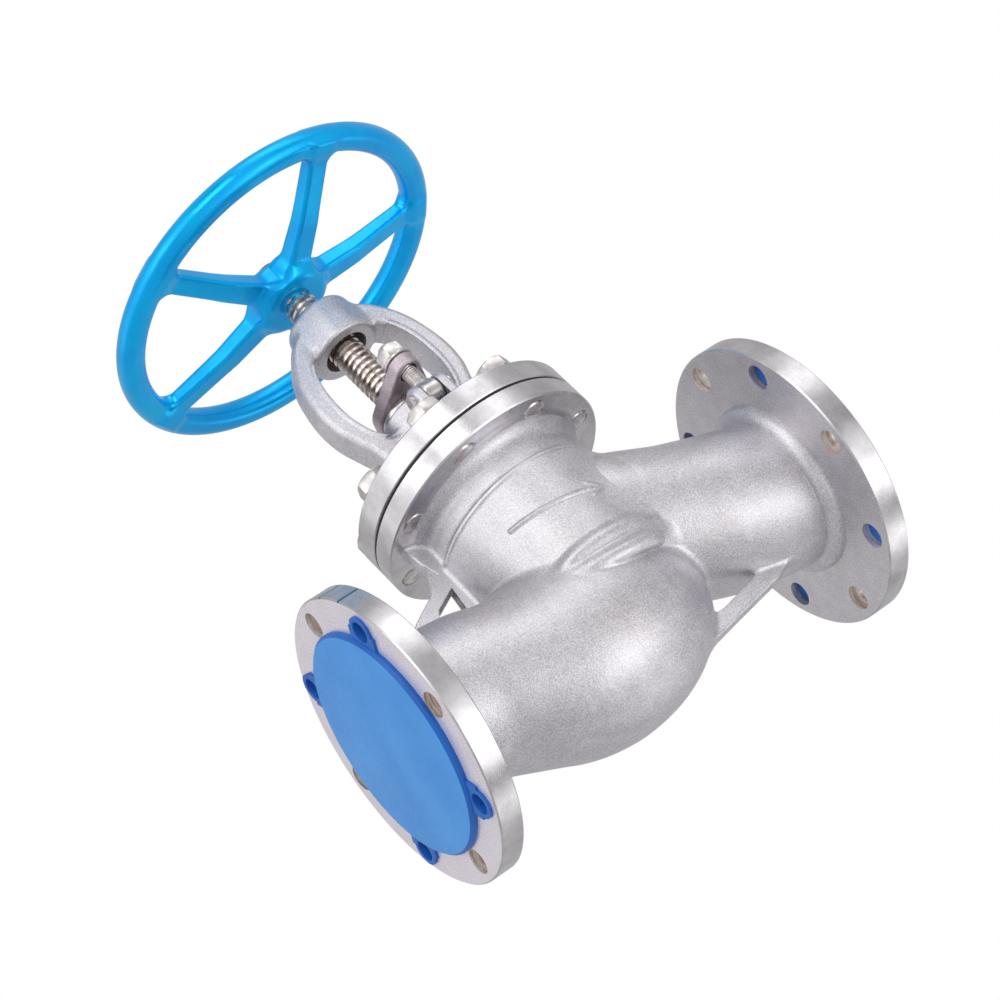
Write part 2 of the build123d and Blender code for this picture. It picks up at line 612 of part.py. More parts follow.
PARTS = {
    "valve_body": valve_body, "seat_ring": seat_ring, "bonnet_gasket": bonnet_gasket, "bonnet": bonnet,
    "bonnet_bolts": bonnet_bolts, "backseat_bush": backseat_bush, "packing_washer": packing_washer,
    "packing_rings": packing_rings, "gland_follower": gland_follower, "gland_flange": gland_flange,
    "gland_eyebolts": gland_eyebolts, "eyebolt_pins": eyebolt_pins, "gland_washers": gland_washers,
    "gland_nuts": gland_nuts, "stem_nut": stem_nut, "stem_nut_lock_screw": stem_nut_lock_screw,
    "stem": stem, "split_ring": split_ring, "disc": disc, "disc_nut": disc_nut, "handwheel": handwheel,
    "handwheel_washer": handwheel_washer, "handwheel_nut": handwheel_nut, "outlet_cover": cover,
    "inlet_cover": inlet_cover,
}

os.makedirs("parts", exist_ok=True)
for name, make in PARTS.items():
    export_step(Pos(HALF, 0, 0) * make(), "parts/" + name + ".step")
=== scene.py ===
import bmesh
import bpy
import json
import math
import numpy as np
import openvdb
from mathutils import Matrix, Vector


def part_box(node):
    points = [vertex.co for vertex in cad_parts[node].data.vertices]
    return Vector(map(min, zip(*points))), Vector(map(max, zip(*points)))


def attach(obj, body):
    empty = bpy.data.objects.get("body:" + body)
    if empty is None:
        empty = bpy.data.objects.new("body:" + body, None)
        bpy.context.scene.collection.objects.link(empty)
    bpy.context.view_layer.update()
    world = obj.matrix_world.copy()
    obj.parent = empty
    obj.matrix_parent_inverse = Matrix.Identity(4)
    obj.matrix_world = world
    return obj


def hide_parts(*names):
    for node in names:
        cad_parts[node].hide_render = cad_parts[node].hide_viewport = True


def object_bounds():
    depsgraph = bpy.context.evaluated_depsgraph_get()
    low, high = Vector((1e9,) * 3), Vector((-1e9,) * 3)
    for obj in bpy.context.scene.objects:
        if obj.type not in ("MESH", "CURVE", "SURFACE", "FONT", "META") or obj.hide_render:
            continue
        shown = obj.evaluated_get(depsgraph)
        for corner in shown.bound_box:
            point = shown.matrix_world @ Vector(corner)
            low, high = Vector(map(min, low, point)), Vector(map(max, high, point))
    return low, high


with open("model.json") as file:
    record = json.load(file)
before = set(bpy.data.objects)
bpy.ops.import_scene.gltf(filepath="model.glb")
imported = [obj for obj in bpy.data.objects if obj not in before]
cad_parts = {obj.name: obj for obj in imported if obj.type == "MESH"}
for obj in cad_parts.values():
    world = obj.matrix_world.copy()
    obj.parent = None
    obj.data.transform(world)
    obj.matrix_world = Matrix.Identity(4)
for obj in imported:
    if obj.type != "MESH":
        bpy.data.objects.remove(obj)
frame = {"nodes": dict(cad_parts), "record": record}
CAD_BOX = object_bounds()

# Shapes are worked out in millimetres about the crossing of the flow and stem axes.
MM = 0.001
STEM_X = sum(c[0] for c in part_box("bonnet_gasket")) / 2
STEM_LINE = (STEM_X, 0, 0)
# Grid step of the castings, and the distance given to the space outside a grid
FINE = 0.7
FAR = 100.0


# ------------------------------------------------------------ distance fields
class Field:
    """A block of space, in millimetres, on which solids are written as signed distances."""

    def __init__(self, low, high, step):
        self.low, self.step = np.array(low, float), step
        count = np.ceil((np.array(high) - self.low) / step).astype(int) + 1
        axes = [(self.low[k] + step * np.arange(count[k])).astype(np.float32) for k in range(3)]
        self.x, self.y, self.z = axes[0][:, None, None], axes[1][None, :, None], axes[2][None, None, :]

    def window(self, low, high):
        """A smaller block of the same grid: its place in the array, and the block itself."""
        cut, part = [], Field.__new__(Field)
        for k, axis in enumerate((self.x, self.y, self.z)):
            inside = np.nonzero((axis.ravel() >= low[k]) & (axis.ravel() <= high[k]))[0]
            cut.append(slice(inside[0], inside[-1] + 1))
        part.x, part.y, part.z = self.x[cut[0]], self.y[:, cut[1]], self.z[:, :, cut[2]]
        return tuple(cut), part

    def piece(self, name, distance):
        """The surface where the distance is zero, as a smooth-shaded mesh piece."""
        block = np.broadcast_to(distance, (self.x.size, self.y.size, self.z.size))
        grid = openvdb.FloatGrid(FAR)
        grid.copyFromArray(np.array(block, dtype=np.float32, order="C"))
        points, quads = grid.convertToQuads(isovalue=0.0)
        return mesh_piece(name, points * self.step + self.low, quads[:, ::-1])


def mesh_piece(name, points, faces):
    """A smooth-shaded mesh piece from points in millimetres about the stem axis."""
    mesh = bpy.data.meshes.new(name)
    places = np.asarray(points, float) * MM + STEM_LINE
    mesh.from_pydata(places.tolist(), [], np.asarray(faces).tolist())
    mesh.validate()
    mesh.polygons.foreach_set("use_smooth", [True] * len(mesh.polygons))
    piece = bpy.data.objects.new(name, mesh)
    bpy.context.collection.objects.link(piece)
    return piece


def join(a, b, radius):
    """Union of two distances with a round fillet between them."""
    corner = np.hypot(np.maximum(radius - a, 0), np.maximum(radius - b, 0))
    return np.maximum(radius, np.minimum(a, b)) - corner


def common(a, b, radius):
    """Common part of two distances with a rounded edge."""
    return -join(-a, -b, radius)


def slab(value, low, high):
    """Distance to the space between two planes."""
    return np.maximum(low - value, value - high)


def ellipsoid(field, centre, radii):
    """Near enough the distance to an ellipsoid, exact at its surface."""
    p = [a - c for a, c in zip((field.x, field.y, field.z), centre)]
    near = np.sqrt(sum((a / r) ** 2 for a, r in zip(p, radii)))
    steep = np.sqrt(sum((a / r ** 2) ** 2 for a, r in zip(p, radii)))
    return near * (near - 1) / np.maximum(steep, 1e-6)


def duct(field, sections):
    """Round duct along X whose centre height and radius change: (x, z, radius)."""
    xs, zs, rs = (np.array(v, float) for v in zip(*sections))
    stations = np.arange(xs[0], xs[-1] + 1, 1.0)
    reach = 11
    weights = np.hanning(2 * reach + 1)

    def softened(values):
        padded = np.pad(np.interp(stations, xs, values), reach, mode="edge")
        return np.convolve(padded, weights / weights.sum(), "valid")

    def along(values):
        return np.interp(field.x[:, 0, 0], stations, values)[:, None, None].astype(np.float32)

    centre, radius = softened(zs), softened(rs)
    lean = along(np.gradient(centre))
    wall = (np.hypot(field.y, field.z - along(centre)) - along(radius)) / np.sqrt(1 + lean ** 2)
    return np.maximum(wall, slab(field.x, xs[0], xs[-1]))


def cord(field, points, radius):
    """Round cord along a chain of straight lengths."""
    best = None
    for a, b in zip(np.array(points, float), np.array(points[1:], float)):
        run = b - a
        p = [axis - start for axis, start in zip((field.x, field.y, field.z), a)]
        t = np.clip(sum(q * r for q, r in zip(p, run)) / run.dot(run), 0, 1)
        reach = np.sqrt(sum((q - r * t) ** 2 for q, r in zip(p, run)))
        best = reach if best is None else np.minimum(best, reach)
    return best - radius


def outline(u, v, points):
    """Signed distance to a closed polygon in a plane."""
    p = np.array(points, float)
    best = np.full(np.broadcast(u, v).shape, np.inf)
    inside = np.zeros(best.shape, bool)
    for (ax, ay), (bx, by) in zip(p, np.roll(p, -1, axis=0)):
        ex, ey = bx - ax, by - ay
        t = np.clip(((u - ax) * ex + (v - ay) * ey) / (ex * ex + ey * ey), 0, 1)
        best = np.minimum(best, (u - ax - t * ex) ** 2 + (v - ay - t * ey) ** 2)
        level_edge = 1.0
        inside ^= ((ay > v) != (by > v)) & (u < ex * (v - ay) / (ey or level_edge) + ax)
    return (np.sqrt(best) * np.where(inside, -1, 1)).astype(np.float32)


def plate(field, points, thick, edge):
    """Flat plate in the X-Z plane, with rounded edges."""
    flat = outline(field.x[:, 0, :], field.z[0, :, :], points)[:, None, :]
    return common(flat, np.abs(field.y) - thick / 2, edge)


def smooth_line(points, steps=8):
    """Catmull-Rom curve through given points."""
    p = [np.array(q, float) for q in points]
    p = [2 * p[0] - p[1]] + p + [2 * p[-1] - p[-2]]
    line = []
    for a, b, c, d in zip(p, p[1:], p[2:], p[3:]):
        for t in np.linspace(0, 1, steps, endpoint=False):
            line.append(0.5 * (2 * b + (c - a) * t + (2 * a - 5 * b + 4 * c - d) * t * t
                               + (3 * b - a - 3 * c + d) * t ** 3))
    return line + [p[-2]]


# ------------------------------------------------------------ materials
class Shader:
    """A node material with short calls for the nodes that repeat."""

    def __init__(self, name, **sockets):
        self.material = bpy.data.materials.new(name)
        self.material.use_nodes = True
        self.tree = self.material.node_tree
        self.main = self.tree.nodes["Principled BSDF"]
        self.place = self.node("TexCoord").outputs["Object"]
        for key, value in sockets.items():
            self.main.inputs[key.replace("_", " ")].default_value = value

    def node(self, kind, **settings):
        n = self.tree.nodes.new("ShaderNode" + kind)
        for key, value in settings.items():
            setattr(n, key, value)
        return n

    def feed(self, socket, value):
        if hasattr(value, "is_output"):
            self.tree.links.new(value, socket)
        else:
            socket.default_value = value

    def noise(self, scale, detail=3.0, roughness=0.5, vector=None):
        n = self.node("TexNoise")
        self.feed(n.inputs["Vector"], vector or self.place)
        n.inputs["Scale"].default_value = scale
        n.inputs["Detail"].default_value = detail
        n.inputs["Roughness"].default_value = roughness
        return n.outputs["Fac"]

    def math(self, operation, a, b=0.0):
        n = self.node("Math", operation=operation)
        self.feed(n.inputs[0], a)
        self.feed(n.inputs[1], b)
        return n.outputs[0]

    def ramp(self, value, low, high, bottom=0.0, top=1.0):
        n = self.node("MapRange", clamp=True)
        ends = (("Value", value), ("From Min", low), ("From Max", high), ("To Min", bottom), ("To Max", top))
        for key, end in ends:
            self.feed(n.inputs[key], end)
        return n.outputs["Result"]

    def mix(self, factor, a, b):
        n = self.node("Mix", data_type="RGBA")
        self.feed(n.inputs["Factor"], factor)
        self.feed(n.inputs[6], a)
        self.feed(n.inputs[7], b)
        return n.outputs[2]

    def colour(self, value):
        self.feed(self.main.inputs["Base Color"], value)

    def rough(self, value):
        self.feed(self.main.inputs["Roughness"], value)

    def bump(self, *layers):
        """Layers of (height, distance in millimetres), each on top of the last."""
        below = None
        for height, distance in layers:
            n = self.node("Bump")
            n.inputs["Distance"].default_value = distance * MM
            self.feed(n.inputs["Height"], height)
            if below:
                self.feed(n.inputs["Normal"], below)
            below = n.outputs["Normal"]
        self.feed(self.main.inputs["Normal"], below)

    def xyz(self, vector):
        parts = self.node("SeparateXYZ")
        self.feed(parts.inputs[0], vector)
        return parts.outputs

    def around(self, axis, centre):
        """(along, radius, angle) about a line parallel to X or Z."""
        shift = self.node("VectorMath", operation="SUBTRACT")
        self.feed(shift.inputs[0], self.place)
        shift.inputs[1].default_value = centre
        x, y, z = self.xyz(shift.outputs[0])
        along, u, v = (x, y, z) if axis == "X" else (z, x, y)
        radius = self.math("SQRT", self.math("ADD", self.math("MULTIPLY", u, u), self.math("MULTIPLY", v, v)))
        return along, radius, self.math("ARCTAN2", v, u)

    def stretched(self, coordinates, scales, detail, roughness):
        """Noise with a scale of its own along each of three coordinates."""
        n = self.node("CombineXYZ")
        for socket, value, scale in zip(n.inputs, coordinates, scales):
            self.feed(socket, self.math("MULTIPLY", value, scale))
        return self.noise(1.0, detail, roughness, n.outputs[0])


def rgb(red, green, blue):
    """Linear colour from 0-255 display values."""
    def linear(c):
        c /= 255
        return c / 12.92 if c <= 0.04045 else ((c + 0.055) / 1.055) ** 2.4
    return linear(red), linear(green), linear(blue), 1.0


def cast_steel(name="cast_stainless", light=(234, 232, 236), dark=(222, 219, 224), warm=(226, 216, 208)):
    """Bead-blasted stainless casting: fine grain, soft mottling, faint warm stains."""
    s = Shader(name, Metallic=1.0)
    grain, mottle, stain = s.noise(1150, 1.0), s.noise(90, 5.0, 0.6), s.noise(16, 3.0)
    base = s.mix(s.ramp(mottle, 0.35, 0.68), rgb(*dark), rgb(*light))
    stained = s.mix(s.ramp(stain, 0.58, 0.78, 0.0, 0.45), base, rgb(*warm))
    s.colour(s.mix(s.ramp(grain, 0.40, 0.60, 0.34, 0.0), stained, rgb(104, 100, 104)))
    s.rough(s.math("ADD", s.ramp(mottle, 0.3, 0.7, 0.42, 0.46), s.ramp(grain, 0.3, 0.7, -0.04, 0.06)))
    s.bump((s.noise(420, 2.0), 0.09), (grain, 0.13))
    return s.material


# Two painted lines across the inlet flange's rim: places and half widths in radians about the flow axis,
# then where they fade along it and towards it, in metres
STRIPE_ANGLES = (2.30, 2.54)
STRIPE_HALVES = (0.013, 0.010)
STRIPE_ENDS = (0.018, 0.0175)
STRIPE_RADII = (0.1035, 0.104)


def turned_steel(name, axis, centre, stripes=False,
                 dark=(190, 187, 190), light=(222, 220, 222), metal=1.0):
    """Machined steel: fine rings about the axis, broken grain and rub marks."""
    s = Shader(name, Metallic=metal)
    along, radius, angle = s.around(axis, centre)
    rings = s.stretched((along, radius, angle), (2600, 2600, 7), 3.0, 0.6)
    grain, rub = s.noise(1100, 3.0, 0.7), s.noise(55, 4.0, 0.6)
    base = s.mix(s.ramp(rub, 0.3, 0.7), rgb(*dark), rgb(*light))
    if stripes:
        off_line = [s.math("ABSOLUTE", s.math("SUBTRACT", angle, at)) for at in STRIPE_ANGLES]
        marks = [s.ramp(off, *STRIPE_HALVES) for off in off_line]
        painted = s.math("MULTIPLY", s.math("MAXIMUM", *marks), s.ramp(along, *STRIPE_ENDS))
        painted = s.math("MULTIPLY", painted, s.ramp(radius, *STRIPE_RADII))
        base = s.mix(s.math("MULTIPLY", painted, s.ramp(rub, 0.3, 0.5, 0.6, 0.95)), base, rgb(36, 132, 152))
    s.colour(base)
    s.rough(s.math("ADD", s.ramp(grain, 0.3, 0.7, 0.17, 0.29), s.ramp(rings, 0.3, 0.7, -0.03, 0.05)))
    s.bump((rub, 0.05), (rings, 0.018), (grain, 0.022))
    return s.material


def bright_steel(name="bright_steel", light=(226, 222, 220), dark=(188, 182, 180)):
    """Cold-formed fastener or turned small part: bright with a fine scratched grain."""
    s = Shader(name, Metallic=1.0)
    grain, patch = s.noise(1300, 3.0, 0.65), s.noise(160, 3.0)
    s.colour(s.mix(s.ramp(patch, 0.35, 0.65), rgb(*dark), rgb(*light)))
    s.rough(s.ramp(grain, 0.3, 0.7, 0.20, 0.32))
    s.bump((patch, 0.05), (grain, 0.015))
    return s.material


def drilled_steel():
    """Walls of drilled holes: brownish, ringed across the axis, with bright bands."""
    s = Shader("drilled_hole", Metallic=0.5)
    bands = s.stretched(s.xyz(s.place), (430, 60, 60), 3.0, 0.6)
    s.colour(s.mix(s.ramp(bands, 0.4, 0.65), rgb(196, 178, 166), rgb(255, 252, 248)))
    s.rough(s.ramp(bands, 0.3, 0.7, 0.24, 0.38))
    s.bump((bands, 0.05))
    return s.material


def enamel():
    """Blue gloss enamel over a cast surface: slightly uneven, glossy."""
    s = Shader("blue_enamel", Metallic=0.5, Coat_Weight=0.3, Coat_Roughness=0.05, Coat_IOR=1.4,
               Specular_IOR_Level=0.1)
    flow, cast, dust = s.noise(30, 3.0), s.noise(140, 3.0, 0.6), s.noise(700, 2.0)
    s.colour(s.mix(s.ramp(flow, 0.35, 0.7), rgb(0, 172, 248), rgb(0, 190, 255)))
    s.rough(s.ramp(cast, 0.3, 0.7, 0.16, 0.26))
    s.bump((s.noise(26, 2.0), 0.5), (cast, 0.12), (dust, 0.008))
    return s.material


def moulded_blue(name, colour, deep):
    """Moulded polyethylene cap: semi-matt, faint flow and scuffs."""
    s = Shader(name, Subsurface_Weight=0.05, IOR=1.48)
    s.main.inputs["Subsurface Radius"].default_value = (0.0005, 0.001, 0.003)
    flow, skin, scuff = s.noise(22, 3.0), s.noise(900, 2.0), s.noise(240, 4.0, 0.7)
    s.colour(s.mix(s.ramp(flow, 0.3, 0.7), rgb(*deep), rgb(*colour)))
    s.rough(s.ramp(scuff, 0.45, 0.75, 0.40, 0.55))
    s.bump((flow, 0.12), (skin, 0.012))
    return s.material


def black_sheet():
    """Graphite gasket and packing."""
    s = Shader("graphite", Metallic=0.0)
    flake = s.noise(900, 3.0)
    s.colour(s.mix(flake, rgb(12, 12, 13), rgb(34, 34, 36)))
    s.rough(s.ramp(flake, 0.3, 0.7, 0.45, 0.7))
    s.bump((flake, 0.03))
    return s.material


def bronze():
    """Turned bronze of the stem nut; its tone is painted dark and steel-like, as shade of the boss recess it
    sits in.
    """
    s = Shader("bronze", Metallic=1.0)
    rings = s.stretched(s.around("Z", STEM_LINE), (2500, 2500, 3), 2.0, 0.5)
    # Both bronze tones are kept dark: painted shade of the recess in the yoke boss, over the real bronze.
    s.colour(s.mix(s.ramp(rings, 0.3, 0.7), rgb(104, 84, 60), rgb(140, 116, 84)))
    s.rough(s.ramp(rings, 0.3, 0.7, 0.28, 0.42))
    s.bump((rings, 0.02))
    return s.material


FLOW_LINE = (0, 0, 0)
CAST = cast_steel()
CAST_GLAND = cast_steel("cast_gland", (220, 208, 214), (198, 186, 192), (190, 174, 170))
TURNED_X = turned_steel("turned_about_flow", "X", FLOW_LINE, stripes=True)
TURNED_Z = turned_steel("turned_about_stem", "Z", STEM_LINE)
JOINT_FACE = turned_steel("joint_face", "X", FLOW_LINE,
                          dark=(236, 228, 236), light=(244, 238, 245), metal=0.4)
BRIGHT = bright_steel()
POLISHED = bright_steel("polished_stem", (236, 230, 226), (190, 178, 170))
DRILLED = drilled_steel()
ENAMEL = enamel()
# Lit and shaded copies of one cap plastic: the outer face is painted paler, as lit, and the edges and cups a
# deeper blue, as painted shade.
COVER_LIT_FACE = moulded_blue("cover_face", (74, 162, 240), (60, 148, 230))
COVER_SHADED_EDGE = moulded_blue("cover_shaded_edge", (10, 108, 200), (4, 94, 186))
DARK_STEEL = bright_steel("dark_steel", (96, 84, 78), (62, 54, 50))
GRAPHITE = black_sheet()
SHADED_BRONZE = bronze()
CASTING_SLOTS = [CAST, TURNED_X, TURNED_Z, DRILLED, JOINT_FACE]
AS_CAST, RIM, TURNED_FLANGE, HOLE_WALL, JOINT = range(len(CASTING_SLOTS))


# ------------------------------------------------------------ castings
BODY_OF = {node: body for body, nodes in frame["record"]["behaviour"]["bodies"].items() for node in nodes}


def stand_for(piece, node):
    """The piece takes the CAD node's place: its body and its looks."""
    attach(piece, BODY_OF[node])
    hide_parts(node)


CREASE = math.radians(35)


def shade(piece):
    """Smooth shading that stays crisp over real edges."""
    piece.data.polygons.foreach_set("use_smooth", [True] * len(piece.data.polygons))
    piece.data.set_sharp_from_angle(angle=CREASE)


def cad_copy(node, name, drop=None):
    """The CAD node's own mesh in a new object, welded, ready to be finished or joined with a skin."""
    source = frame["nodes"][node]
    copy = bpy.data.objects.new(name, source.data.copy())
    bpy.context.collection.objects.link(copy)
    if "custom_normal" in copy.data.attributes:
        copy.data.attributes.remove(copy.data.attributes["custom_normal"])
    if drop is not None:
        shape = bmesh.new()
        shape.from_mesh(copy.data)
        shape.faces.ensure_lookup_table()
        bmesh.ops.delete(shape, geom=[shape.faces[k] for k in np.nonzero(drop)[0]], context="FACES")
        shape.to_mesh(copy.data)
        shape.free()
    weld = copy.modifiers.new("weld", "WELD")
    weld.merge_threshold = 1e-6
    bake_modifiers(copy)
    return copy


def bake_modifiers(piece):
    """Replaces a piece's mesh by what its modifiers make of it."""
    graph = bpy.context.evaluated_depsgraph_get()
    made = bpy.data.meshes.new_from_object(piece.evaluated_get(graph))
    piece.modifiers.clear()
    piece.data = made


def faces_of(mesh):
    """The centres of a mesh's faces, in millimetres about the stem, and their normals."""
    count = len(mesh.polygons)
    centres, normals = np.empty(count * 3), np.empty(count * 3)
    mesh.polygons.foreach_get("center", centres)
    mesh.polygons.foreach_get("normal", normals)
    return (centres.reshape(-1, 3) - STEM_LINE) / MM, normals.reshape(-1, 3)


def all_first(centres, normals):
    """Every face takes the first slot."""
    return np.zeros(len(centres))


def paint_faces(mesh, slots, choose=all_first):
    """Gives each face the slot that choose(centres, normals) picks."""
    mesh.materials.clear()
    for material in slots:
        mesh.materials.append(material)
    mesh.polygons.foreach_set("material_index", choose(*faces_of(mesh)).astype(int))


def prism(points, reach):
    """Closed prism through the X-Z outline, reaching equally far along +Y and -Y."""
    count = len(points)
    corners = [(x, y, z) for y in (-reach, reach) for x, z in points]
    sides = [(k, (k + 1) % count, count + (k + 1) % count, count + k) for k in range(count)]
    piece = mesh_piece("prism", corners, sides + [tuple(range(count))[::-1], tuple(range(count, 2 * count))])
    shape = bmesh.new()
    shape.from_mesh(piece.data)
    bmesh.ops.recalc_face_normals(shape, faces=shape.faces)
    shape.to_mesh(piece.data)
    shape.free()
    return piece


def boolean(solid, operation, tool):
    """Joins a tool to a solid, or cuts it away; the tool is used up."""
    step = solid.modifiers.new("boolean", "BOOLEAN")
    step.operation, step.solver, step.object = operation, "MANIFOLD", tool
    bake_modifiers(solid)
    bpy.data.objects.remove(tool)


# Planes at which the CAD body is parted into touching sections
INLET_CUT, OUTLET_CUT, SEAT_CUT, COLLAR_CUT, BRACE_CUT, BRACE_REACH = -78, 66, -1, 100, 58, 116


def section_of(x, z):
    """Which of the body's touching CAD sections a place belongs to."""
    neck = (x > INLET_CUT) & (x < OUTLET_CUT) & (z > SEAT_CUT)
    neck |= (np.abs(x) < BRACE_REACH) & (z > COLLAR_CUT)
    neck |= (x > -BRACE_REACH) & (x <= INLET_CUT) & (z > BRACE_CUT)
    return np.select([neck, x < INLET_CUT, x > OUTLET_CUT], [0, 1, 2], 3)


def whole_body(name):
    """The body's four CAD sections joined into one closed mesh, without their inner faces."""
    centres, normals = faces_of(frame["nodes"]["valve_body"].data)
    just_inside = centres - 0.02 * normals
    section = section_of(just_inside[:, 0], just_inside[:, 2])
    solid = cad_copy("valve_body", name, section != 0)
    for k in (1, 2, 3):
        boolean(solid, "UNION", cad_copy("valve_body", "section", section != k))
    return solid


def union_with_cad(skin, solid, node, choose):
    """One closed mesh of the CAD solid and its smooth casting skin, standing for the node."""
    paint_faces(solid.data, CASTING_SLOTS, choose)
    paint_faces(skin.data, CASTING_SLOTS)
    boolean(solid, "UNION", skin)
    shade(solid)
    stand_for(solid, node)


# Round ducts of the body, as (x, centre height, radius)
INLET = [(-160, 0, 54.2), (-141, 0, 54.4), (-120, -3, 55.6), (-102, -8.5, 58.4), (-78, -18.2, 60.2),
         (-60, -21, 63.4), (-45, -22, 65.3), (-33, -22, 65.9), (-24, -22, 65.5), (-16, -22, 62)]
OUTLET = [(14, 42, 56), (30, 40, 57), (60, 30, 58.6), (90, 15.5, 57.3), (116, 6.8, 56.1), (141, 0, 54.6),
          (160, 0, 54.2)]
BELLY_CENTRE, BELLY_RADII = (-33, 0, -22), (92.6, 65.6, 65.6)
NECK_R, NECK_HEIGHTS = 65.6, (-7.5, 87.5)
WAIST_R, WAIST_HEIGHTS = 63.2, (60, 113)
COLLAR_R, COLLAR_HEIGHTS = 82, (111.3, 113.5)
# Cast braces between the flanges and the neck, as (x, z) outlines, and their thicknesses
OUTLET_BRACE_THICK, INLET_BRACE_THICK = 8.4, 10.4
OUTLET_BRACE = [(8, -58), (21, -69.5), (42, -66.5), (63, -62.5), (103, -55.5), (122, -48), (112, -40),
                (89, -45), (78, -47.5), (59, -51.5), (48, -51.5), (38, -44)]
INLET_BRACE = [(-56, 112), (-77.5, 112), (-76, 95), (-73, 83), (-86.5, 72.5), (-108, 61), (-116, 54),
               (-108, 40), (-60, 34)]
INLET_BRACE_WINDOW = [(-75, 46.5), (-96, 50.5), (-90, 60), (-71.8, 69)]
INLET_WINDOW_REACH = 12
# Foot of each pipe flange, and how thick the casting skin is over the CAD solid
FLANGE_FOOT_X, FLANGE_FOOT_R, SKIN_END_X, SKIN_THICK = 155.8, 76, 157.5, 2.6
# Two cast ridges where the neck's foot meets the belly, as points on the +Y side; the -Y side mirrors them
RIDGE_R = 6.2
NECK_RIDGE = [(-38.5, 49, 6), (-28.5, 55.5, 8), (-17, 60, 8.8), (2, 62.4, 8.6), (23, 58, 8), (40, 48, 6)]
BELLY_RIDGE = [(-38.5, 49, 4), (-25, 57.2, -2), (-10, 61.6, -6), (7, 62, -7.5), (24, 57.6, -7.5),
               (33, 52.6, -7)]
# Flow arrow strokes on the neck, as (degrees about the stem, height)
ARROW_R, ARROW_STROKE_R = 65.4, 1.5
ARROW = [[(-125, 53.5), (-94, 47.5), (-63, 41.8)], [(-71, 49), (-63, 41.8)], [(-73, 38.5), (-63, 41.8)]]


# Where the turned and drilled faces of the CAD body lie
FLANGE_RIM_R, FLANGE_BACK_X, JOINT_X, JOINT_R = 103, 155, 172.5, 104.2
BOLT_CIRCLE_R, BOLT_HOLE_R = 90, 9.5
COLLAR_EDGE_R, COLLAR_BACK_Z = 66, 110.5


def body_slots(centres, normals):
    """Which faces of the CAD body are turned, drilled or left as cast."""
    x, y, z = centres.T
    from_flow, from_stem = np.hypot(y, z), np.hypot(x, y)
    pick = np.full(len(centres), AS_CAST)
    pick[from_flow > FLANGE_RIM_R] = RIM
    pick[(np.abs(x) > JOINT_X) & (from_flow < JOINT_R)] = JOINT
    pick[(from_stem > COLLAR_EDGE_R) & (z > COLLAR_BACK_Z)] = TURNED_FLANGE
    round_hole = (np.abs(from_flow - BOLT_CIRCLE_R) < BOLT_HOLE_R) & (np.abs(normals[:, 0]) < 0.1)
    pick[round_hole & (np.abs(x) > FLANGE_BACK_X)] = HOLE_WALL
    return pick


def flow_arrow(field):
    """Raised arrow on the neck that shows the flow direction."""
    shape = None
    for line in ARROW:
        turned = [(math.radians(angle), z) for angle, z in smooth_line(line, steps=6)]
        wrapped = [(ARROW_R * math.cos(angle), ARROW_R * math.sin(angle), z) for angle, z in turned]
        stroke = cord(field, wrapped, ARROW_STROKE_R)
        shape = stroke if shape is None else np.minimum(shape, stroke)
    return shape


def valve_body():
    """Body casting: ducts, belly, neck and ribs flow into each other; flanges stay crisp."""
    f = Field((-158, -73, -92), (158, 73, 114), FINE)
    belly = ellipsoid(f, BELLY_CENTRE, BELLY_RADII)
    inlet, outlet = duct(f, INLET), duct(f, OUTLET)
    radial = np.hypot(f.x, f.y)
    neck = common(radial - NECK_R, slab(f.z, *NECK_HEIGHTS), 7.0)
    waist = np.maximum(radial - WAIST_R, slab(f.z, *WAIST_HEIGHTS))
    collar = np.maximum(slab(f.z, *COLLAR_HEIGHTS), radial - COLLAR_R)
    window = outline(f.x[:, 0, :], f.z[0, :, :], INLET_BRACE_WINDOW)[:, None, :]
    braces = [plate(f, OUTLET_BRACE, OUTLET_BRACE_THICK, 1.2),
              np.maximum(plate(f, INLET_BRACE, INLET_BRACE_THICK, 1.2), -window)]
    solids = [belly, inlet, outlet, neck, waist, *braces]
    hard = np.minimum.reduce([np.broadcast_to(s, belly.shape) for s in solids])
    skin = join(np.minimum(inlet, belly), neck, 4)
    skin = join(skin, outlet, 7)
    skin = join(skin, join(waist, collar, 13), 2.5)
    for brace in braces:
        skin = join(skin, brace, 3.5)
    for side in (-1, 1):
        foot = np.maximum(FLANGE_FOOT_X - side * f.x, np.hypot(f.y, f.z) - FLANGE_FOOT_R)
        skin = join(skin, foot, 10)
        near_y, far_y = sorted((side * 36, side * 73))
        place, near = f.window((-60, near_y, -25), (60, far_y, 25))
        for ridge in (NECK_RIDGE, BELLY_RIDGE):
            bead = cord(near, [(x, side * y, z) for x, y, z in smooth_line(ridge, steps=3)], RIDGE_R)
            skin[place] = join(skin[place], bead, 3)
    place, near = f.window((-60, -73, 30), (60, -36, 75))
    skin[place] = join(skin[place], flow_arrow(near), 0.8)
    skin = np.maximum(skin, slab(f.x, -SKIN_END_X, SKIN_END_X))
    shell = f.piece("skin", np.maximum(skin, -(hard + SKIN_THICK)))
    solid = whole_body("valve_body_casting")
    boolean(solid, "DIFFERENCE", prism(INLET_BRACE_WINDOW, INLET_WINDOW_REACH))
    union_with_cad(shell, solid, "valve_body", body_slots)


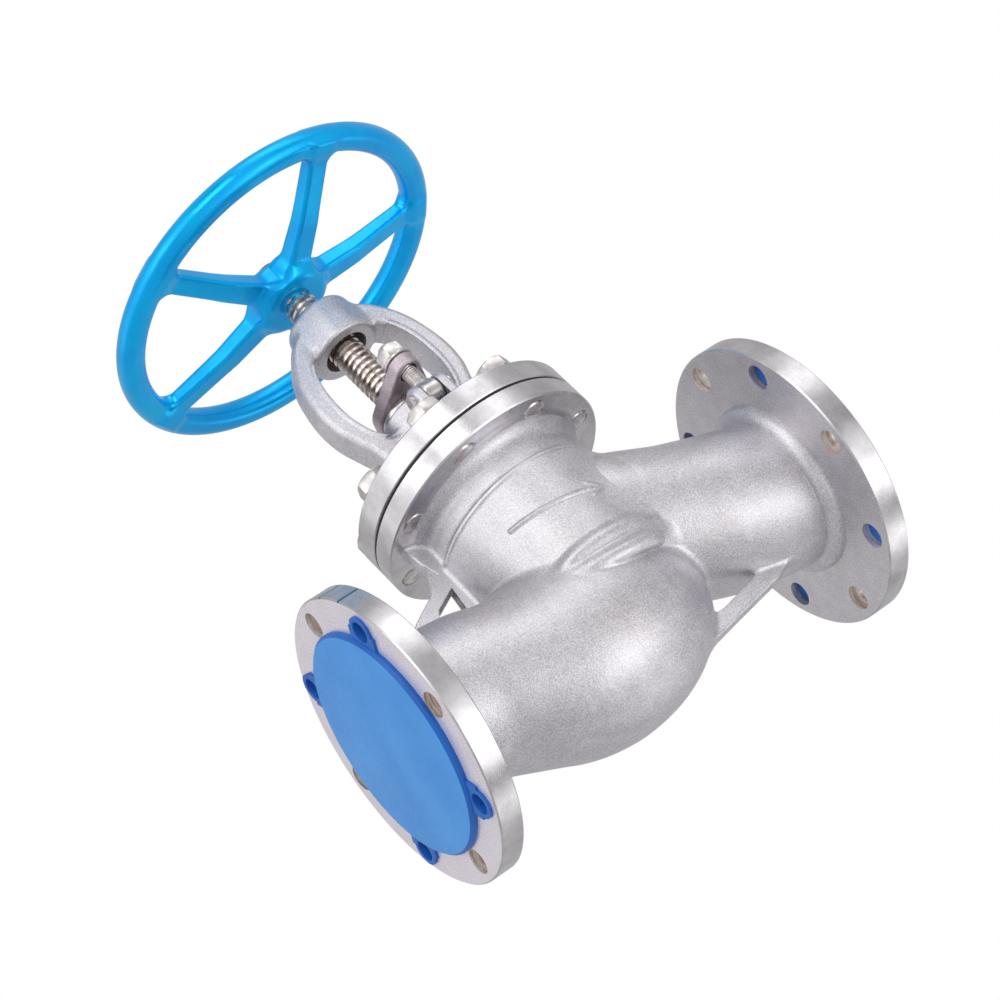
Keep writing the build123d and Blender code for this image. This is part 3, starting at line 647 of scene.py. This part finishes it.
# Half outlines of the yoke and of the window between its arms, as (x, z)
ARM_OUTSIDE = [(17, 301), (27, 295.5), (38.3, 284.5), (47.5, 268), (52.5, 250), (55, 230), (53.5, 211),
               (48.5, 195), (43.5, 178), (41, 144)]
WINDOW = [(0, 276), (20, 276), (31.5, 266.5), (38.5, 248), (40.5, 224), (38, 206), (32.5, 193),
          (21.5, 184.5), (0, 182.5)]
ARM_HALF, LIP_HALF, LIP_HEIGHTS = 12.8, 13.8, (188, 268)
BOSS_R, BOSS_FOOT, BOSS_TOP = 25.8, 271.5, 307
STUFFING_BOX_R, STUFFING_BOX_HEIGHTS = 26, (140, 198)
BONNET_FLANGE_TOP, BONNET_FOOT_R, BONNET_RIM_R, BONNET_FACE_Z = 145.9, 60, 87.5, 128.3
BONNET_SKIN_FOOT = 144
# Gland bolts: their place, and the forked ears that hold their pins
GLAND_BOLT_Y, EYE_Z = 41.5, 181
EAR_R, EAR_HALF, EAR_FOOT, FORK_HALF, FORK_FLOOR, PIN_HOLE_R, PIN_HOLE_HALF = 10, 14, 140, 7, 157, 5.05, 20
# The way up the middle: its radius below each height, and above them all
HOLLOW_TOPS, HOLLOW_RADII, HOLLOW_LAST_R = (158, 250, 300), (12.4, 20, 17), 13.5


def mirrored(points):
    """A half outline and its reflection, as one loop."""
    return points + [(-u, v) for u, v in reversed(points) if u > 0]


def bonnet_slots(centres, normals):
    """Which faces of the bonnet flange are turned."""
    x, y, z = centres.T
    return np.where((np.hypot(x, y) > BONNET_RIM_R) | (z < BONNET_FACE_Z), TURNED_FLANGE, AS_CAST)


def bonnet():
    """Bonnet casting: the flange stays crisp; yoke arms, boss, stuffing box and ears flow together."""
    f = Field((-60, -56, 143), (60, 56, 309), FINE)
    radial = np.hypot(f.x, f.y)
    window = outline(f.x[:, 0, :], f.z[0, :, :], mirrored(smooth_line(WINDOW)))
    arms = outline(f.x[:, 0, :], f.z[0, :, :], mirrored(smooth_line(ARM_OUTSIDE)))
    skin = common(np.maximum(arms, -window)[:, None, :], np.abs(f.y) - ARM_HALF, 4.5)
    lip = common(slab(window[:, None, :], -0.3, 3.2), np.abs(f.y) - LIP_HALF, 1.2)
    skin = join(skin, np.maximum(lip, slab(f.z, *LIP_HEIGHTS)), 1.0)
    boss = common(common(radial - BOSS_R, f.z - BOSS_TOP, 6), BOSS_FOOT - f.z, 3)
    stuffing_box = common(radial - STUFFING_BOX_R, slab(f.z, *STUFFING_BOX_HEIGHTS), 1.2)
    base = np.maximum(f.z - BONNET_FLANGE_TOP, radial - BONNET_FOOT_R)
    skin = join(join(skin, boss, 3.5), join(stuffing_box, base, 6), 5)
    across = np.abs(f.y) - GLAND_BOLT_Y
    from_pin = np.hypot(across, f.z - EYE_Z)
    ear = np.minimum(np.maximum(np.abs(across) - EAR_R, slab(f.z, EAR_FOOT, EYE_Z)), from_pin - EAR_R)
    ear = common(ear, np.abs(f.x) - EAR_HALF, 2.5)
    ear = np.maximum(ear, -np.maximum(np.abs(f.x) - FORK_HALF, FORK_FLOOR - f.z))
    skin = join(skin, ear, 3)
    skin = np.maximum(skin, -np.maximum(from_pin - PIN_HOLE_R, np.abs(f.x) - PIN_HOLE_HALF))
    hollow = np.select([f.z < top for top in HOLLOW_TOPS], HOLLOW_RADII, HOLLOW_LAST_R)
    skin = np.maximum(np.maximum(skin, hollow - radial), BONNET_SKIN_FOOT - f.z)
    flange = cad_copy("bonnet", "bonnet_casting")
    low, high, reach = BONNET_FLANGE_TOP + 0.5, 1000, 500
    boolean(flange, "DIFFERENCE", prism([(-reach, low), (reach, low), (reach, high), (-reach, high)], reach))
    union_with_cad(f.piece("skin", skin), flange, "bonnet", bonnet_slots)


SPOKES = 5
RIM_CENTRE_R, RIM_CENTRE_Z, RIM_HALF_WIDTH, RIM_HALF_HEIGHT = 123.5, 353, 9.8, 9.0
HUB_R, HUB_HEIGHTS = 27, (328, 352)
SQUARE_HALF, SQUARE_CORNER_R = 8.6, 11.5


def handwheel():
    """Cast wheel: soft-square rim, dished spokes that swell into rim and hub."""
    f = Field((-136, -136, 324), (136, 136, 365), FINE * 1.3)
    radial = np.hypot(f.x, f.y)
    rim_side, rim_face = np.abs(radial - RIM_CENTRE_R), np.abs(f.z - RIM_CENTRE_Z)
    rim = common(rim_side - RIM_HALF_WIDTH, rim_face - RIM_HALF_HEIGHT, 8.2)
    hub = common(radial - HUB_R, slab(f.z, *HUB_HEIGHTS), 5)
    spokes = None
    for k in range(SPOKES):
        turn = 2 * math.pi * k / SPOKES
        out = f.x * math.cos(turn) + f.y * math.sin(turn)
        across = f.y * math.cos(turn) - f.x * math.sin(turn)
        level = np.interp(out, (0, 20, 62, 110, 124), (341, 341, 343.5, 350.5, 353))
        half = np.interp(out, (0, 30, 75, 124), (10.5, 9.6, 8.2, 8.2))
        deep = np.interp(out, (0, 30, 124), (8.5, 7.0, 5.5))
        bar = common(np.abs(across) - half, np.abs(f.z - level) - deep, 2.8)
        bar = np.maximum(bar, slab(out, 4, 124))
        spokes = bar if spokes is None else np.minimum(spokes, bar)
    wheel = join(join(spokes, hub, 9), rim, 8)
    square = np.maximum(np.maximum(np.abs(f.x), np.abs(f.y)) - SQUARE_HALF, radial - SQUARE_CORNER_R)
    piece = f.piece("handwheel_casting", np.maximum(wheel, -square))
    piece.data.materials.append(ENAMEL)
    stand_for(piece, "handwheel")


THREAD_PITCH, THREAD_CORE_R, THREAD_DEPTH = 1.75, 5.15, 0.85
BOLT_HEIGHTS, CHAMFER_SUM = (183, 231), 236
EYE_R, EYE_HALF, EYE_HOLE_R = 9.6, 6.6, 5.0


def swing_bolts():
    """The two gland bolts: eye on the pin, neck and rolled thread."""
    f = Field((-8, -53, 170), (8, 53, 233), FINE * 0.5)
    across = np.abs(f.y) - GLAND_BOLT_Y
    turn = np.arctan2(across * np.sign(f.y), f.x) / (2 * math.pi)
    crest = np.abs(2 * np.mod(f.z / THREAD_PITCH - turn, 1.0) - 1)
    radial, from_pin = np.hypot(f.x, across), np.hypot(across, f.z - EYE_Z)
    shank = np.maximum(radial - THREAD_CORE_R - THREAD_DEPTH * crest, slab(f.z, *BOLT_HEIGHTS))
    shank = np.maximum(shank, (radial + f.z - CHAMFER_SUM) * 0.7)
    eye = common(from_pin - EYE_R, np.abs(f.x) - EYE_HALF, 2)
    piece = f.piece("swing_bolts", np.maximum(join(shank, eye, 2.5), EYE_HOLE_R - from_pin))
    piece.data.materials.append(BRIGHT)
    stand_for(piece, "gland_eyebolts")


valve_body()
bonnet()
handwheel()
swing_bolts()


# ------------------------------------------------------------ nodes that keep their CAD shape
def finish(node, bevel, *materials, choose=all_first):
    """The node's own shape with softly broken edges and its material."""
    piece = cad_copy(node, node + "_finished")
    if bevel:
        soft = piece.modifiers.new("soft_edges", "BEVEL")
        soft.width, soft.segments = bevel * MM, 2
        soft.limit_method, soft.angle_limit = "ANGLE", math.radians(28)
        bake_modifiers(piece)
    paint_faces(piece.data, materials, choose)
    shade(piece)
    stand_for(piece, node)


COVER_OUTSIDE_X = 177.4


def cover_lit_or_shaded(centres, normals):
    """Painted light and shade on a cover: its broad outer face is painted paler, as lit, and its edges and
    cups a deeper blue, as painted shade.
    """
    return np.where(np.abs(centres[:, 0]) > COVER_OUTSIDE_X, 0, 1)


for name in ("bonnet_bolts", "seat_ring", "backseat_bush", "packing_washer", "gland_follower", "eyebolt_pins",
             "gland_washers", "gland_nuts", "stem_nut_lock_screw", "split_ring", "disc", "disc_nut"):
    finish(name, 0.3, BRIGHT)
finish("bonnet_gasket", 0.0, GRAPHITE)
finish("packing_rings", 0.2, GRAPHITE)
finish("gland_flange", 0.4, CAST_GLAND)
# The stem nut's bronze is painted dark, as shade in the boss recess.
finish("stem_nut", 0.3, SHADED_BRONZE)
finish("stem", 0.0, POLISHED)
finish("handwheel_washer", 0.3, DARK_STEEL)
finish("handwheel_nut", 0.3, DARK_STEEL)
# Each cover gets painted light on its outer face and painted shade on its edges and cups.
for name in ("inlet_cover", "outlet_cover"):
    finish(name, 0.3, COVER_LIT_FACE, COVER_SHADED_EDGE, choose=cover_lit_or_shaded)


# ------------------------------------------------------------ camera, light and floor
def aim(azimuth, elevation, roll):
    """Camera axes: azimuth from +Y towards -X, elevation above the horizon, roll about the line of sight."""
    azimuth, elevation, roll = map(math.radians, (azimuth, elevation, roll))
    forward = Vector((-math.sin(azimuth) * math.cos(elevation), math.cos(azimuth) * math.cos(elevation),
                      -math.sin(elevation)))
    level = forward.cross(Vector((0, 0, 1))).normalized()
    up = level.cross(forward)
    right = level * math.cos(roll) - up * math.sin(roll)
    return right, right.cross(forward), forward


RIGHT, UP, FORWARD = aim(azimuth=-27.59, elevation=-26.73, roll=45.58)
TARGET = Vector((STEM_X - 0.0182, -0.0373, 0.0865))
CAMERA_LENS, CAMERA_DISTANCE = 111.57, 2.015


def camera():
    """Long lens at the photo's angle: below the valve, and rolled."""
    look = bpy.data.cameras.new("camera")
    look.lens = CAMERA_LENS
    eye = bpy.data.objects.new("camera", look)
    bpy.context.collection.objects.link(eye)
    turn = Matrix((RIGHT, UP, -FORWARD)).transposed()
    eye.matrix_world = Matrix.Translation(TARGET - FORWARD * CAMERA_DISTANCE) @ turn.to_4x4()
    bpy.context.scene.camera = eye


def softbox(name, side, height, toward, size, power):
    """Square soft light placed by the camera's own axes, aimed at the valve."""
    lamp = bpy.data.lights.new(name, "AREA")
    lamp.size, lamp.energy = size, power
    box = bpy.data.objects.new(name, lamp)
    bpy.context.collection.objects.link(box)
    away = RIGHT * side + UP * height - FORWARD * toward
    box.matrix_world = Matrix.Translation(TARGET + away) @ away.to_track_quat("Z", "Y").to_matrix().to_4x4()


# Brightness of the room, and what stands in it. Each lobe: how far to the right, up and towards the camera,
# its sharpness and its strength; a negative one is a dark card
ROOM = 0.52
LOBES = [(0.55, 0.3, 0.8, 4, 0.45), (-0.15, 1.0, 0.15, 35, 1.8), (0.75, 0.1, 0.65, 35, 1.4),
         (0.9, -0.45, -0.05, 35, 1.1), (-0.8, 0.15, 0.55, 25, 1.8), (-0.9, -0.15, 0.4, 12, 0.6),
         (0.6, -0.25, 0.75, 35, 0.5), (0.2, 0.97, 0.15, 60, 0.9), (-0.9, -0.45, -0.1, 20, 0.5),
         (-0.45, 0.8, 0.35, 40, -0.55), (0.9, -0.3, 0.35, 50, -0.5), (0.5, 0.7, 0.5, 50, -0.45)]


def studio():
    """White surround for the eye; for reflections, a pale room with soft bright lobes and dark cards."""
    world = bpy.data.worlds.new("studio")
    bpy.context.scene.world = world
    world.use_nodes = True
    tree = world.node_tree
    tree.nodes.clear()

    def node(kind, **settings):
        n = tree.nodes.new("ShaderNode" + kind)
        for key, value in settings.items():
            setattr(n, key, value)
        return n

    way = node("TexCoord").outputs["Generated"]
    total = None
    for side, height, toward, sharp, gain in LOBES:
        dot = node("VectorMath", operation="DOT_PRODUCT")
        tree.links.new(way, dot.inputs[0])
        dot.inputs[1].default_value = (RIGHT * side + UP * height - FORWARD * toward).normalized()
        facing = node("Math", operation="MAXIMUM")
        tree.links.new(dot.outputs["Value"], facing.inputs[0])
        power = node("Math", operation="POWER", use_clamp=True)
        tree.links.new(facing.outputs[0], power.inputs[0])
        power.inputs[1].default_value = sharp
        scaled = node("Math", operation="MULTIPLY_ADD")
        tree.links.new(power.outputs[0], scaled.inputs[0])
        scaled.inputs[1].default_value = gain
        if total:
            tree.links.new(total, scaled.inputs[2])
        else:
            scaled.inputs[2].default_value = ROOM
        total = scaled.outputs[0]
    room, white = node("Background"), node("Background")
    tree.links.new(total, room.inputs["Strength"])
    room.inputs["Color"].default_value = (0.99, 0.985, 1.0, 1)
    white.inputs["Color"].default_value, white.inputs["Strength"].default_value = (1, 1, 1, 1), 1.0
    pick, seen, out = node("MixShader"), node("LightPath"), node("OutputWorld")
    tree.links.new(seen.outputs["Is Camera Ray"], pick.inputs[0])
    tree.links.new(room.outputs[0], pick.inputs[1])
    tree.links.new(white.outputs[0], pick.inputs[2])
    tree.links.new(pick.outputs[0], out.inputs["Surface"])


def floor():
    """Pale floor under the valve; from below it is clear, so the underside is seen against the surround."""
    half, level = 3.0, CAD_BOX[0][2] - 0.0005
    corners = [(x, y, level) for x, y in ((-half, -half), (half, -half), (half, half), (-half, half))]
    mesh = bpy.data.meshes.new("floor")
    mesh.from_pydata(corners, [], [(0, 1, 2, 3)])
    ground = bpy.data.objects.new("floor", mesh)
    bpy.context.collection.objects.link(ground)
    s = Shader("pale_floor", Roughness=0.85)
    s.colour(s.mix(s.noise(3, 2.0), rgb(236, 236, 237), rgb(244, 244, 245)))
    clear, back, pick = s.node("BsdfTransparent"), s.node("NewGeometry"), s.node("MixShader")
    s.feed(pick.inputs[0], back.outputs["Backfacing"])
    s.feed(pick.inputs[1], s.main.outputs[0])
    s.feed(pick.inputs[2], clear.outputs[0])
    s.feed(s.tree.nodes["Material Output"].inputs["Surface"], pick.outputs[0])
    mesh.materials.append(s.material)
    ground.visible_diffuse = ground.visible_glossy = False
    ground.visible_transmission = ground.visible_shadow = False


bpy.context.scene.view_settings.view_transform = "Standard"
camera()
studio()
softbox("key", -0.9, 1.3, 1.2, 0.9, 6)
softbox("fill", 1.5, -0.2, 1.0, 1.0, 3)
floor()
